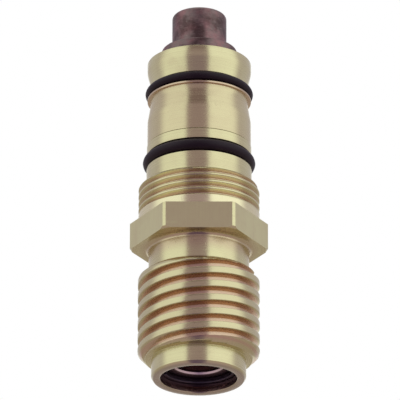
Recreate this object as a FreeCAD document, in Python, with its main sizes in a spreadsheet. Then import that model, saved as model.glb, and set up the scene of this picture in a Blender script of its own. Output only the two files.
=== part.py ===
import FreeCAD, Part
import math
import os

import Sketcher

# Thermostatic cartridge: a brass body that screws into a shower valve, a plunger that the handle
# pushes, and a slide that a copper wax capsule lifts. Row frame: millimetres, Z up, the end face
# that takes the handle is at Z = 0 and the copper bulb points to +Z.

# Driving sizes: name, value, what it measures. Lengths are in millimetres, angles in degrees.
SIZES = [
    ("spigot_radius", 9.31, "plain nose below the coarse thread"),
    ("spigot_length", 4.0, "end face to the first thread"),
    ("spigot_chamfer", 0.4, "outer edge of the end face"),
    ("coarse_radius", 12.0, "crest of the two-start handle thread"),
    ("coarse_root_radius", 10.6, "root of the handle thread"),
    ("coarse_length", 17.65, "handle thread, end to end"),
    ("coarse_pitch", 2.87, "crest to crest of the handle thread"),
    ("coarse_crest", 1.32, "width of one crest"),
    ("coarse_floor", 0.8, "width of each groove's floor"),
    ("coarse_phase", 1.2, "height of a crest centre above the end face, at the front"),
    ("thread_cutter_excess", 0.4, "how far the thread cutter stands out of the crests"),
    ("coarse_lead_in", 1.5, "chamfer where the handle thread starts"),
    ("coarse_run_out", 0.85, "chamfer where the handle thread ends"),
    ("neck_radius", 9.93, "undercut between thread and hexagon"),
    ("neck_length", 5.65, "undercut between thread and hexagon"),
    ("neck_fillet", 0.9, "fillet under the hexagon"),
    ("hex_across_flats", 24.0, "spanner size"),
    ("hex_corner_cut", 0.196, "how much is turned off the hexagon's corners"),
    ("hex_height", 5.45, "hexagon thickness"),
    ("hex_chamfer", 0.42, "turned chamfer under the corners"),
    ("valve_thread_radius", 12.0, "outside of the thread that screws into the valve"),
    ("valve_thread_length", 7.65, "hexagon to the end of the valve thread"),
    ("valve_thread_chamfer", 0.3, "end of the valve thread"),
    ("land_radius", 10.45, "plain land below the seal"),
    ("land_length", 4.0, "plain land below the seal"),
    ("body_groove_radius", 8.79, "floor of the body's seal groove"),
    ("body_groove_width", 2.8, "body's seal groove"),
    ("body_ring_section", 2.4, "thickness of the body's O-ring"),
    ("nose_radius", 10.4, "end of the body above the seal"),
    ("nose_length", 2.0, "end of the body above the seal"),
    ("edge_break", 0.12, "broken sharp edges of turned faces"),
    ("bore_radius", 7.5, "bore right through the body"),
    ("mouth_chamfer", 0.2, "mouth of the bore"),
    ("clip_groove_radius", 7.85, "floor of both clip grooves in the bore"),
    ("clip_thickness", 0.9, "retaining clips in the bore"),
    ("clip_play", 0.06, "room at each side of a clip in its groove"),
    ("clip_inner_radius", 6.7, "inside of the mouth clip"),
    ("clip_opening", 36.0, "gap in each clip, as an angle"),
    ("mouth_clip_height", 1.9, "end face to the mouth clip"),
    ("seat_clip_depth", 0.75, "body's upper face down to the seat clip"),
    ("seat_clip_inner_radius", 6.2, "inside of the seat clip"),
    ("running_gap", 0.05, "radial clearance of the sliding fits"),
    ("face_gap", 0.1, "room between faces that meet and part"),
    ("fit_gap", 0.04, "room between pieces that are fixed together"),
    ("plunger_length", 24.0, "setting plunger, end to end"),
    ("socket_radius", 4.85, "socket for the handle's pusher"),
    ("socket_depth", 5.0, "socket for the handle's pusher"),
    ("socket_chamfer", 0.45, "chamfer at the socket's mouth"),
    ("plunger_floor", 1.6, "web between socket and spring cavity"),
    ("cavity_radius", 5.85, "spring cavity in the plunger"),
    ("plunger_groove_height", 2.4, "plunger's face to its seal groove"),
    ("plunger_groove_depth", 1.5, "plunger's seal groove"),
    ("plunger_groove_width", 2.3, "plunger's seal groove"),
    ("plunger_rim", 1.2, "plunger's upper end down to its clip"),
    ("setting_travel", 4.5, "how far the handle pushes the plunger in"),
    ("overload_wire", 1.4, "wire of the overload spring"),
    ("overload_radius", 4.95, "coil radius of the overload spring"),
    ("overload_turns", 5.0, "turns of the overload spring"),
    ("thrust_flange_radius", 5.7, "flange of the thrust cup"),
    ("thrust_flange_height", 1.6, "flange of the thrust cup"),
    ("thrust_boss_radius", 3.85, "boss that centres the overload spring"),
    ("thrust_boss_length", 5.0, "boss that centres the overload spring"),
    ("thrust_recess_depth", 1.0, "recess that holds the pin"),
    ("stop_washer_height", 1.2, "washer that the thrust cup stops on"),
    ("stop_washer_hole", 3.2, "hole in the stop washer, radius"),
    ("cavity_clip_radius", 6.25, "floor of the clip groove in the plunger"),
    ("cavity_clip_inner", 4.9, "inside of the plunger's clip"),
    ("pin_radius", 1.95, "pin that the wax pushes out"),
    ("pin_slack", 0.45, "room above the pin with the plunger right in"),
    ("sleeve_radius", 10.3, "tube of the slide"),
    ("sleeve_tube_length", 5.35, "tube of the slide up to its taper"),
    ("sleeve_taper_length", 3.25, "taper of the slide"),
    ("sleeve_waist_radius", 9.75, "thin end of the taper"),
    ("sleeve_waist_length", 1.25, "waist below the rim"),
    ("rim_radius", 10.34, "thin rim under the slide's O-ring"),
    ("rim_width", 0.42, "thin rim under the slide's O-ring"),
    ("slide_groove_radius", 8.97, "floor of the slide's seal groove"),
    ("slide_groove_width", 2.38, "slide's seal groove"),
    ("slide_ring_section", 1.78, "thickness of the slide's O-ring"),
    ("flare_radius", 9.5, "thin end of the flare above the seal"),
    ("flare_length", 3.35, "flare above the seal"),
    ("flare_blend", 4.0, "blend radius between flare and crown"),
    ("crown_radius", 10.35, "top cylinder of the slide"),
    ("crown_length", 1.9, "top cylinder of the slide"),
    ("slide_bore_radius", 7.7, "water way through the slide"),
    ("seat_mouth_radius", 9.3, "flared mouth of the slide's lower end"),
    ("seat_mouth_depth", 1.2, "flared mouth of the slide's lower end"),
    ("chamber_radius", 9.1, "wide upper end of the slide's bore"),
    ("chamber_depth", 3.4, "wide upper end of the slide's bore"),
    ("chamber_cone", 1.6, "height of the cone into the upper end"),
    ("spider_top_depth", 2.2, "slide's upper edge down to the spider"),
    ("spider_height", 6.5, "ribs and hub of the spider"),
    ("rib_reach", 8.4, "ends of the spider's ribs, as a radius"),
    ("rib_width", 1.6, "thickness of each rib"),
    ("hub_radius", 4.7, "hub of the spider"),
    ("stem_radius", 3.25, "stem of the element guide"),
    ("stem_clearance", 0.08, "room round the stem in a hole that it slides in"),
    ("guide_bore_clearance", 0.05, "room round the pin in the guide"),
    ("flange_radius", 7.55, "crimped flange of the capsule"),
    ("flange_height", 5.25, "crimped flange of the capsule"),
    ("bulb_radius", 5.44, "bulb of the capsule"),
    ("bulb_height", 7.75, "bulb above the flange"),
    ("bulb_edge", 0.8, "rounded top edge of the bulb"),
    ("capsule_wall", 0.6, "copper wall"),
    ("crimp_height", 0.65, "lip that is rolled under the guide's head"),
    ("crimp_inner_radius", 6.3, "inside of the rolled lip"),
    ("guide_head_height", 2.9, "head of the guide inside the capsule"),
    ("plug_length", 2.2, "rubber plug above the pin"),
    ("plug_disc_length", 0.5, "backing disc under the plug"),
    ("stem_gap", 1.6, "room under the stem with the plunger right in"),
    ("stem_clip_rise", 0.6, "stem's lower end to its clip groove"),
    ("stem_clip_thickness", 0.7, "clip on the stem"),
    ("stem_groove_radius", 2.75, "floor of the groove on the stem"),
    ("stem_clip_radius", 4.3, "outside of the clip on the stem"),
    ("spring_plate_radius", 7.0, "plate that carries the return spring"),
    ("spring_plate_height", 1.1, "plate that carries the return spring"),
    ("seat_ring_height", 1.2, "fixed ring that the return spring pushes on"),
    ("return_wire", 1.2, "wire of the return spring"),
    ("return_radius", 5.6, "coil radius of the return spring"),
    ("return_turns", 5.0, "turns of the return spring"),
    ("nut_across_flats", 9.0, "nut that holds the element in the slide"),
    ("nut_height", 2.9, "nut that holds the element in the slide"),
]


class Size:
    """A length with both its value and the sheet expression that gives it."""

    def __init__(self, text, value):
        self.text = text
        self.value = value

    def combine(self, sign, other, value):
        return Size(f"({self.text} {sign} {as_size(other).text})", value)

    def __add__(self, other):
        return self.combine("+", other, self.value + as_size(other).value)

    def __sub__(self, other):
        return self.combine("-", other, self.value - as_size(other).value)

    def __mul__(self, other):
        return self.combine("*", other, self.value * as_size(other).value)

    def __truediv__(self, other):
        return self.combine("/", other, self.value / as_size(other).value)


def as_size(number):
    """A plain number as a Size, so both can stand in one sum."""
    if isinstance(number, Size):
        return number
    return Size(repr(float(number)), float(number))


doc = FreeCAD.newDocument("ThermostaticCartridge")
sheet = doc.addObject("Spreadsheet::Sheet", "Sizes")
size = {}
for row, (alias, number, meaning) in enumerate(SIZES, start=1):
    sheet.set(f"A{row}", meaning)
    sheet.set(f"B{row}", str(number))
    sheet.setAlias(f"B{row}", alias)
    size[alias] = Size(f"Sizes.{alias}", float(number))
doc.recompute()

ZERO = as_size(0.0)
ORIGIN_POINT = (-1, 1)


# Helpers for sketches and features

def new_body(label):
    """An empty body with its own label and placement."""
    body = doc.addObject("PartDesign::Body", label)
    body.Label = label
    body.Placement = FreeCAD.Placement()
    return body


def origin_feature(body, role):
    """One of the body's own origin planes or axes."""
    for feature in body.Origin.OriginFeatures:
        if feature.Role == role:
            return feature
    raise ValueError(role)


def new_sketch(body, name, role, height=ZERO):
    """A sketch on an origin plane, raised along the plane's normal by a size."""
    sketch = body.newObject("Sketcher::SketchObject", name)
    sketch.AttachmentSupport = [(origin_feature(body, role), "")]
    sketch.MapMode = "FlatFace"
    if height.value:
        sketch.AttachmentOffset = FreeCAD.Placement(FreeCAD.Vector(0, 0, height.value), FreeCAD.Rotation())
        sketch.setExpression("AttachmentOffset.Base.z", height.text)
    return sketch


def bind(sketch, constraint, name, length):
    """Adds a constraint and ties its value to the sheet."""
    number = sketch.addConstraint(constraint)
    sketch.renameConstraint(number, name)
    sketch.setExpression(f"Constraints.{name}", length.text)


def place_point(sketch, geometry, vertex, tag, across, up):
    """Fixes one point of a sketch at two sizes from the origin."""
    bind(sketch, Sketcher.Constraint("DistanceX", *ORIGIN_POINT, geometry, vertex, across.value),
         f"across_{tag}", across)
    bind(sketch, Sketcher.Constraint("DistanceY", *ORIGIN_POINT, geometry, vertex, up.value),
         f"up_{tag}", up)


def draw_outline(sketch, points):
    """A closed outline of straight lines through (across, up) sizes."""
    first = sketch.GeometryCount
    corners = [FreeCAD.Vector(across.value, up.value, 0) for across, up in points]
    for number, corner in enumerate(corners):
        following = corners[(number + 1) % len(corners)]
        sketch.addGeometry(Part.LineSegment(corner, following), False)
    for number in range(len(corners)):
        following = (number + 1) % len(corners)
        sketch.addConstraint(Sketcher.Constraint("Coincident", first + number, 2, first + following, 1))
    for number, (across, up) in enumerate(points):
        place_point(sketch, first + number, 1, f"{first + number}", across, up)


def draw_circle(sketch, radius, across=ZERO, up=ZERO):
    """A circle whose centre and radius come from the sheet."""
    number = sketch.GeometryCount
    centre = FreeCAD.Vector(across.value, up.value, 0)
    sketch.addGeometry(Part.Circle(centre, FreeCAD.Vector(0, 0, 1), radius.value), False)
    place_point(sketch, number, 3, f"{number}", across, up)
    bind(sketch, Sketcher.Constraint("Radius", number, radius.value), f"radius_{number}", radius)


def revolve(body, sketch, name, angle=360.0):
    """Turns a sketch round the body's Z axis, evenly about the sketch where it isn't a full turn."""
    feature = body.newObject("PartDesign::Revolution", name)
    feature.Profile = sketch
    feature.ReferenceAxis = (origin_feature(body, "Z_Axis"), [""])
    feature.Midplane = angle < 360.0
    feature.Angle = angle
    sketch.Visibility = False
    return feature


def turned(label, points, angle=360.0):
    """A body whose whole form is one turned outline."""
    body = new_body(label)
    sketch = new_sketch(body, f"{label}_outline", "XZ_Plane")
    draw_outline(sketch, points)
    revolve(body, sketch, f"{label}_turned", angle)
    return body


def ring(label, inner, outer, bottom, top, angle=360.0):
    """A plain flat ring between two radii and two heights."""
    return turned(label, [(inner, bottom), (outer, bottom), (outer, top), (inner, top)], angle)


def clip(label, inner, outer, bottom, thickness):
    """A flat spring clip with its gap at the back."""
    closed_part = 360.0 - size["clip_opening"].value
    body = ring(label, inner, outer, bottom, bottom + thickness, closed_part)
    doc.getObject(f"{label}_turned").setExpression("Angle", "360 - Sizes.clip_opening")
    return body


def o_ring(label, section, inner, middle):
    """A seal ring of round section on a groove's floor."""
    body = new_body(label)
    sketch = new_sketch(body, f"{label}_section", "XZ_Plane")
    half = section / 2
    draw_circle(sketch, half, inner + half, middle)
    revolve(body, sketch, f"{label}_turned")
    return body


def polygon(sides, reach, first_angle=0.0):
    """Corners of a regular polygon at this reach from the origin, as sizes."""
    corners = []
    for number in range(sides):
        angle = math.radians(first_angle + 360.0 / sides * number)
        corners.append((reach * round(math.cos(angle), 12), reach * round(math.sin(angle), 12)))
    return corners


def hexagon(across_flats):
    """Corners of a hexagon with a corner on +X, as sizes."""
    return polygon(6, across_flats / 2 / math.cos(math.radians(30)))


def coil_spring(label, coil_radius, wire, bottom, top, turns):
    """An open coil between two heights, its wire eight-sided so that the coil stays light."""
    body = new_body(label)
    sketch = new_sketch(body, f"{label}_wire", "XZ_Plane")
    corners = []
    for across, up in polygon(8, wire / 2):
        corners.append((coil_radius + across, bottom + wire / 2 + up))
    draw_outline(sketch, corners)
    coil = body.newObject("PartDesign::AdditiveHelix", f"{label}_coil")
    coil.Profile = sketch
    coil.ReferenceAxis = (origin_feature(body, "Z_Axis"), [""])
    coil.Mode = "height-turns-angle"
    height = top - bottom - wire
    coil.Height = height.value
    coil.setExpression("Height", height.text)
    coil.Turns = turns.value
    coil.setExpression("Turns", turns.text)
    sketch.Visibility = False
    return body


def circle_edge(shape, radius, height):
    """The name of the round edge of this radius at this height."""
    for number, edge in enumerate(shape.Edges, start=1):
        curve = edge.Curve
        if not isinstance(curve, Part.Circle):
            continue
        if abs(curve.Radius - radius.value) < 1e-4 and abs(curve.Center.z - height.value) < 1e-4:
            return f"Edge{number}"
    raise ValueError(f"no round edge of radius {radius.value} at {height.value}")


def round_edge(body, base, name, radius, height, blend):
    """Fillets one round edge of the last feature."""
    doc.recompute()
    fillet = body.newObject("PartDesign::Fillet", name)
    fillet.Base = (base, [circle_edge(base.Shape, radius, height)])
    fillet.Radius = blend.value
    fillet.setExpression("Radius", blend.text)
    return fillet


def pad(body, sketch, name, length):
    """Raises a sketch along its normal."""
    feature = body.newObject("PartDesign::Pad", name)
    feature.Profile = sketch
    feature.Length = length.value
    feature.setExpression("Length", length.text)
    sketch.Visibility = False
    return feature


def pocket_upwards(body, sketch, name, length, base):
    """Cuts a sketch upwards and makes sure that it removed something."""
    feature = body.newObject("PartDesign::Pocket", name)
    feature.Profile = sketch
    feature.Reversed = True
    feature.Length = length.value
    feature.setExpression("Length", length.text)
    sketch.Visibility = False
    doc.recompute()
    if feature.Shape.Volume >= base.Shape.Volume:
        raise ValueError(f"{name} cuts nothing")
    return feature


# Heights of the main body, measured from the end face

spigot_top = size["spigot_length"]
coarse_top = spigot_top + size["coarse_length"]
hex_bottom = coarse_top + size["neck_length"]
hex_corner_radius = size["hex_across_flats"] / 2 / math.cos(math.radians(30))
hex_top = hex_bottom + size["hex_height"]
valve_thread_top = hex_top + size["valve_thread_length"]
land_top = valve_thread_top + size["land_length"]
body_groove_top = land_top + size["body_groove_width"]
body_top = body_groove_top + size["nose_length"]

mouth_groove_bottom = size["mouth_clip_height"] - size["clip_play"]
mouth_clip_top = size["mouth_clip_height"] + size["clip_thickness"]
mouth_groove_top = mouth_clip_top + size["clip_play"]
seat_clip_top = body_top - size["seat_clip_depth"]
seat_clip_bottom = seat_clip_top - size["clip_thickness"]
seat_groove_top = seat_clip_top + size["clip_play"]
seat_groove_bottom = seat_clip_bottom - size["clip_play"]


# Main body: turned, hexagon milled, then the two-start thread

def build_body_blank():
    """The brass body that screws into the valve, turned and milled but not yet threaded."""
    body = new_body("body_blank")
    outline = new_sketch(body, "body_outline", "XZ_Plane")
    spigot, coarse = size["spigot_radius"], size["coarse_radius"]
    lead_in, run_out = size["coarse_lead_in"], size["coarse_run_out"]
    hex_radius, hex_chamfer = hex_corner_radius - size["hex_corner_cut"], size["hex_chamfer"]
    valve_radius, valve_chamfer = size["valve_thread_radius"], size["valve_thread_chamfer"]
    nose, edge = size["nose_radius"], size["edge_break"]
    bore, mouth = size["bore_radius"], size["mouth_chamfer"]
    clip_floor = size["clip_groove_radius"]
    draw_outline(outline, [
        (bore + mouth, ZERO),
        (spigot - size["spigot_chamfer"], ZERO),
        (spigot, size["spigot_chamfer"] * 1.5),
        (spigot, spigot_top),
        (coarse - lead_in, spigot_top),
        (coarse, spigot_top + lead_in),
        (coarse, coarse_top - run_out),
        (coarse - run_out, coarse_top),
        (size["neck_radius"], coarse_top),
        (size["neck_radius"], hex_bottom),
        (hex_radius - hex_chamfer, hex_bottom),
        (hex_radius, hex_bottom + hex_chamfer),
        (hex_radius, hex_top),
        (valve_radius, hex_top),
        (valve_radius, valve_thread_top - valve_chamfer),
        (valve_radius - valve_chamfer, valve_thread_top),
        (size["land_radius"], valve_thread_top),
        (size["land_radius"], land_top),
        (size["body_groove_radius"], land_top),
        (size["body_groove_radius"], body_groove_top),
        (nose, body_groove_top),
        (nose, body_top - edge),
        (nose - edge, body_top),
        (bore, body_top),
        (bore, seat_groove_top),
        (clip_floor, seat_groove_top),
        (clip_floor, seat_groove_bottom),
        (bore, seat_groove_bottom),
        (bore, mouth_groove_top),
        (clip_floor, mouth_groove_top),
        (clip_floor, mouth_groove_bottom),
        (bore, mouth_groove_bottom),
        (bore, mouth),
    ])
    blank = revolve(body, outline, "body_turned")
    filleted = round_edge(body, blank, "neck_fillet", size["neck_radius"], hex_bottom, size["neck_fillet"])

    flats = new_sketch(body, "hex_flats", "XY_Plane", hex_bottom)
    draw_circle(flats, hex_radius * 1.2)
    draw_outline(flats, hexagon(size["hex_across_flats"]))
    pocket_upwards(body, flats, "hex_milled", size["hex_height"], filleted)
    return body


def thread_cutters():
    """One cutter for each turn of each start: short cutters keep the cut exact."""
    pitch, lead = size["coarse_pitch"].value, size["coarse_pitch"].value * 2
    root, crest = size["coarse_root_radius"].value, size["coarse_radius"].value
    proud = size["thread_cutter_excess"].value
    half_open = (pitch - size["coarse_crest"].value) / 2
    half_root = size["coarse_floor"].value / 2
    half_outer = half_open + proud * (half_open - half_root) / (crest - root)
    corners = [(root, -half_root), (crest + proud, -half_outer), (crest + proud, half_outer), (root, half_root)]
    section = Part.makePolygon([FreeCAD.Vector(across, 0, up) for across, up in corners + corners[:1]])
    middle_radius = (root + crest) / 2
    # The front is a quarter turn short of +X, and the groove lies half a pitch above the crest there.
    front = -90.0
    first_middle = size["coarse_phase"].value - pitch / 2
    turns = math.ceil((coarse_top.value + pitch / 2 - first_middle) / lead)
    cutters = []
    for start in range(2):
        for turn in range(turns):
            path = Part.Wire(Part.makeHelix(lead, lead, middle_radius))
            cutter = path.makePipeShell([section], True, True)
            cutter.translate(FreeCAD.Vector(0, 0, first_middle + lead * turn))
            cutter.rotate(FreeCAD.Vector(0, 0, 0), FreeCAD.Vector(0, 0, 1), front + 180.0 * start)
            cutters.append(cutter)
    return Part.makeCompound(cutters)


def cut_handle_thread(blank):
    """The finished body: the turned and milled blank less the thread's grooves."""
    cutters = doc.addObject("Part::Feature", "thread_cutters")
    cutters.Shape = thread_cutters()
    threaded = doc.addObject("Part::Cut", "body_threaded")
    threaded.Base = blank
    threaded.Tool = cutters
    threaded.Label = "body"
    threaded.Placement = FreeCAD.Placement()
    doc.recompute()
    turns_cut = size["coarse_length"].value / size["coarse_pitch"].value
    groove_area = size["coarse_floor"].value * (size["coarse_radius"].value - size["coarse_root_radius"].value)
    least_cut = turns_cut * groove_area * math.pi * size["coarse_root_radius"].value
    if threaded.Shape.Volume > blank.Shape.Volume - least_cut:
        raise ValueError("the thread cuts too little")
    return threaded


body_blank = build_body_blank()
body = cut_handle_thread(body_blank)
body_ring_middle = land_top + size["body_groove_width"] / 2
o_ring("body_o_ring", size["body_ring_section"], size["body_groove_radius"], body_ring_middle)


# Clips in the bore, and the ring that the return spring pushes against

clip_outer = size["clip_groove_radius"] - size["fit_gap"]
clip("mouth_clip", size["clip_inner_radius"], clip_outer, size["mouth_clip_height"], size["clip_thickness"])
clip("seat_clip", size["seat_clip_inner_radius"], clip_outer, seat_clip_bottom, size["clip_thickness"])
seat_ring_bottom = seat_clip_bottom - size["seat_ring_height"]
stem_hole = size["stem_radius"] + size["stem_clearance"]
ring("spring_seat_ring", stem_hole, size["bore_radius"] - size["running_gap"], seat_ring_bottom, seat_clip_bottom)


# Setting plunger, pushed in by the handle

plunger_radius = size["bore_radius"] - size["running_gap"]
plunger_bottom = mouth_clip_top + size["face_gap"]
plunger_top = plunger_bottom + size["plunger_length"]
socket_top = plunger_bottom + size["socket_depth"]
cavity_bottom = socket_top + size["plunger_floor"]
plunger_groove_bottom = plunger_bottom + size["plunger_groove_height"]
plunger_groove_top = plunger_groove_bottom + size["plunger_groove_width"]
plunger_groove_radius = plunger_radius - size["plunger_groove_depth"]
cavity_clip_top = plunger_top - size["plunger_rim"]
stop_washer_top = cavity_clip_top - size["clip_thickness"]
stop_washer_bottom = stop_washer_top - size["stop_washer_height"]
thrust_top = stop_washer_bottom - size["face_gap"]
thrust_bottom = thrust_top - size["thrust_flange_height"]
cavity_groove_bottom = stop_washer_top - size["clip_play"]
cavity_groove_top = cavity_clip_top + size["clip_play"]

socket_edge = size["socket_radius"] + size["socket_chamfer"]
cavity = size["cavity_radius"]
turned("plunger", [
    (socket_edge, plunger_bottom),
    (plunger_radius - size["edge_break"], plunger_bottom),
    (plunger_radius, plunger_bottom + size["edge_break"]),
    (plunger_radius, plunger_groove_bottom),
    (plunger_groove_radius, plunger_groove_bottom),
    (plunger_groove_radius, plunger_groove_top),
    (plunger_radius, plunger_groove_top),
    (plunger_radius, plunger_top),
    (cavity, plunger_top),
    (cavity, cavity_groove_top),
    (size["cavity_clip_radius"], cavity_groove_top),
    (size["cavity_clip_radius"], cavity_groove_bottom),
    (cavity, cavity_groove_bottom),
    (cavity, cavity_bottom),
    (ZERO, cavity_bottom),
    (ZERO, socket_top),
    (size["socket_radius"], socket_top),
    (size["socket_radius"], plunger_bottom + size["socket_chamfer"]),
])
plunger_ring_middle = plunger_groove_bottom + size["plunger_groove_width"] / 2
o_ring("plunger_o_ring", size["plunger_groove_depth"], plunger_groove_radius, plunger_ring_middle)
coil_spring("overload_spring", size["overload_radius"], size["overload_wire"], cavity_bottom, thrust_bottom,
            size["overload_turns"])
ring("stop_washer", size["stop_washer_hole"], cavity - size["fit_gap"], stop_washer_bottom, stop_washer_top)
clip("plunger_clip", size["cavity_clip_inner"], size["cavity_clip_radius"] - size["fit_gap"], stop_washer_top,
     size["clip_thickness"])


# Thrust cup, which the overload spring holds up

pin_bottom = thrust_top - size["thrust_recess_depth"]
recess_radius = size["pin_radius"] + size["fit_gap"]
turned("thrust_cup", [
    (ZERO, thrust_bottom - size["thrust_boss_length"]),
    (size["thrust_boss_radius"] - size["mouth_chamfer"], thrust_bottom - size["thrust_boss_length"]),
    (size["thrust_boss_radius"], thrust_bottom - size["thrust_boss_length"] + size["mouth_chamfer"]),
    (size["thrust_boss_radius"], thrust_bottom),
    (size["thrust_flange_radius"], thrust_bottom),
    (size["thrust_flange_radius"], thrust_top),
    (recess_radius, thrust_top),
    (recess_radius, pin_bottom),
    (ZERO, pin_bottom),
])


# Slide: the sleeve that opens and closes the water ways

slide_bottom = body_top + size["face_gap"]
taper_bottom = slide_bottom + size["sleeve_tube_length"]
taper_top = taper_bottom + size["sleeve_taper_length"]
rim_bottom = taper_top + size["sleeve_waist_length"]
rim_top = rim_bottom + size["rim_width"]
slide_groove_top = rim_top + size["slide_groove_width"]
flare_top = slide_groove_top + size["flare_length"]
slide_top = flare_top + size["crown_length"]
chamber_bottom = slide_top - size["chamber_depth"]
spider_top = slide_top - size["spider_top_depth"]
spider_bottom = spider_top - size["spider_height"]


def build_slide():
    """The brass sleeve with its seal groove and the spider that carries the element."""
    body = new_body("slide_sleeve")
    outline = new_sketch(body, "sleeve_outline", "XZ_Plane")
    edge = size["edge_break"]
    draw_outline(outline, [
        (size["seat_mouth_radius"], slide_bottom),
        (size["sleeve_radius"] - edge, slide_bottom),
        (size["sleeve_radius"], slide_bottom + edge),
        (size["sleeve_radius"], taper_bottom),
        (size["sleeve_waist_radius"], taper_top),
        (size["sleeve_waist_radius"], rim_bottom),
        (size["rim_radius"], rim_bottom),
        (size["rim_radius"], rim_top),
        (size["slide_groove_radius"], rim_top),
        (size["slide_groove_radius"], slide_groove_top),
        (size["flare_radius"], slide_groove_top),
        (size["crown_radius"], flare_top),
        (size["crown_radius"], slide_top),
        (size["chamber_radius"], slide_top),
        (size["chamber_radius"], chamber_bottom),
        (size["slide_bore_radius"], chamber_bottom - size["chamber_cone"]),
        (size["slide_bore_radius"], slide_bottom + size["seat_mouth_depth"]),
    ])
    sleeve = revolve(body, outline, "sleeve_turned")
    round_edge(body, sleeve, "crown_blend", size["crown_radius"], flare_top, size["flare_blend"])

    bar = new_sketch(body, "rib_outline", "XY_Plane", spider_bottom)
    reach, half_width = size["rib_reach"], size["rib_width"] / 2
    draw_outline(bar, [
        (ZERO - reach, ZERO - half_width),
        (reach, ZERO - half_width),
        (reach, half_width),
        (ZERO - reach, half_width),
    ])
    first_rib = pad(body, bar, "rib", size["spider_height"])
    doc.recompute()
    ribs = body.newObject("PartDesign::PolarPattern", "ribs")
    ribs.Originals = [first_rib]
    ribs.Axis = (origin_feature(body, "Z_Axis"), [""])
    ribs.Angle = 90
    ribs.Occurrences = 2
    body.Tip = ribs
    doc.recompute()

    hub_outline = new_sketch(body, "hub_outline", "XY_Plane", spider_bottom)
    draw_circle(hub_outline, size["hub_radius"])
    hub = pad(body, hub_outline, "hub", size["spider_height"])
    doc.recompute()
    hole = new_sketch(body, "hub_hole", "XY_Plane", spider_bottom)
    draw_circle(hole, size["stem_radius"] + size["fit_gap"])
    pocket_upwards(body, hole, "hub_bored", size["spider_height"], hub)
    return body


slide_sleeve = build_slide()
slide_ring_middle = rim_top + size["slide_groove_width"] / 2
o_ring("slide_o_ring", size["slide_ring_section"], size["slide_groove_radius"], slide_ring_middle)


# Wax element: copper capsule, guide, diaphragm, plug, wax and the pin

flange_bottom = spider_top
flange_top = flange_bottom + size["flange_height"]
bulb_top = flange_top + size["bulb_height"]
wall = size["capsule_wall"]
head_bottom = flange_bottom + size["crimp_height"]
head_top = head_bottom + size["guide_head_height"]
head_radius = size["flange_radius"] - wall - size["fit_gap"]
wax_bottom = flange_top - wall
guide_bore = size["pin_radius"] + size["guide_bore_clearance"]


def build_capsule():
    """The copper cup: bulb, flange and the lip that is rolled under the guide's head."""
    body = new_body("element_capsule")
    outline = new_sketch(body, "capsule_outline", "XZ_Plane")
    draw_outline(outline, [
        (size["crimp_inner_radius"], flange_bottom),
        (size["flange_radius"], flange_bottom),
        (size["flange_radius"], flange_top),
        (size["bulb_radius"], flange_top),
        (size["bulb_radius"], bulb_top),
        (ZERO, bulb_top),
        (ZERO, bulb_top - wall),
        (size["bulb_radius"] - wall, bulb_top - wall),
        (size["bulb_radius"] - wall, wax_bottom),
        (size["flange_radius"] - wall, wax_bottom),
        (size["flange_radius"] - wall, head_bottom),
        (size["crimp_inner_radius"], head_bottom),
    ])
    cup = revolve(body, outline, "capsule_turned")
    round_edge(body, cup, "bulb_rounded", size["bulb_radius"], bulb_top, size["bulb_edge"])
    return body


element_capsule = build_capsule()

stem_bottom = plunger_top + size["setting_travel"] + size["stem_gap"]
stem_groove_bottom = stem_bottom + size["stem_clip_rise"]
stem_clip_bottom = stem_groove_bottom + size["clip_play"]
stem_clip_top = stem_clip_bottom + size["stem_clip_thickness"]
stem_groove_top = stem_clip_top + size["clip_play"]
turned("element_guide", [
    (guide_bore + size["mouth_chamfer"], stem_bottom),
    (size["stem_radius"] - size["mouth_chamfer"], stem_bottom),
    (size["stem_radius"], stem_bottom + size["mouth_chamfer"]),
    (size["stem_radius"], stem_groove_bottom),
    (size["stem_groove_radius"], stem_groove_bottom),
    (size["stem_groove_radius"], stem_groove_top),
    (size["stem_radius"], stem_groove_top),
    (size["stem_radius"], head_bottom),
    (head_radius, head_bottom),
    (head_radius, head_top),
    (guide_bore, head_top),
    (guide_bore, stem_bottom + size["mouth_chamfer"]),
])
ring("diaphragm", ZERO, head_radius, head_top, wax_bottom)
wax_radius = size["bulb_radius"] - wall - size["fit_gap"]
ring("wax_charge", ZERO, wax_radius, wax_bottom, bulb_top - wall - size["fit_gap"])
plug_bottom = head_top - size["plug_length"]
ring("rubber_plug", ZERO, size["pin_radius"], plug_bottom, head_top)
disc_bottom = plug_bottom - size["plug_disc_length"]
ring("backing_disc", ZERO, size["pin_radius"], disc_bottom, plug_bottom)
pin_top = disc_bottom - size["setting_travel"] - size["pin_slack"]
turned("element_pin", [
    (ZERO, pin_bottom),
    (size["pin_radius"] - size["mouth_chamfer"], pin_bottom),
    (size["pin_radius"], pin_bottom + size["mouth_chamfer"]),
    (size["pin_radius"], pin_top - size["mouth_chamfer"]),
    (size["pin_radius"] - size["mouth_chamfer"], pin_top),
    (ZERO, pin_top),
])


# Return spring with its plate and clip, and the nut that holds the element in the slide

clip("stem_clip", size["stem_groove_radius"] + size["fit_gap"], size["stem_clip_radius"], stem_clip_bottom,
     size["stem_clip_thickness"])
plate_top = stem_clip_top + size["spring_plate_height"]
ring("spring_plate", size["stem_radius"] + size["fit_gap"], size["spring_plate_radius"], stem_clip_top, plate_top)
coil_spring("return_spring", size["return_radius"], size["return_wire"], plate_top, seat_ring_bottom,
            size["return_turns"])


def build_nut():
    """The hexagon nut under the spider."""
    body = new_body("element_nut")
    outline = new_sketch(body, "nut_outline", "XY_Plane", spider_bottom - size["nut_height"])
    draw_outline(outline, hexagon(size["nut_across_flats"]))
    draw_circle(outline, size["stem_radius"] + size["fit_gap"])
    pad(body, outline, "nut_pad", size["nut_height"])
    return body


element_nut = build_nut()


# Every feature is tested before anything is written

doc.recompute()
for item in doc.Objects:
    if "Invalid" in item.State or "Error" in item.State:
        raise ValueError(f"{item.Label} failed: {item.State}")

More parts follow.
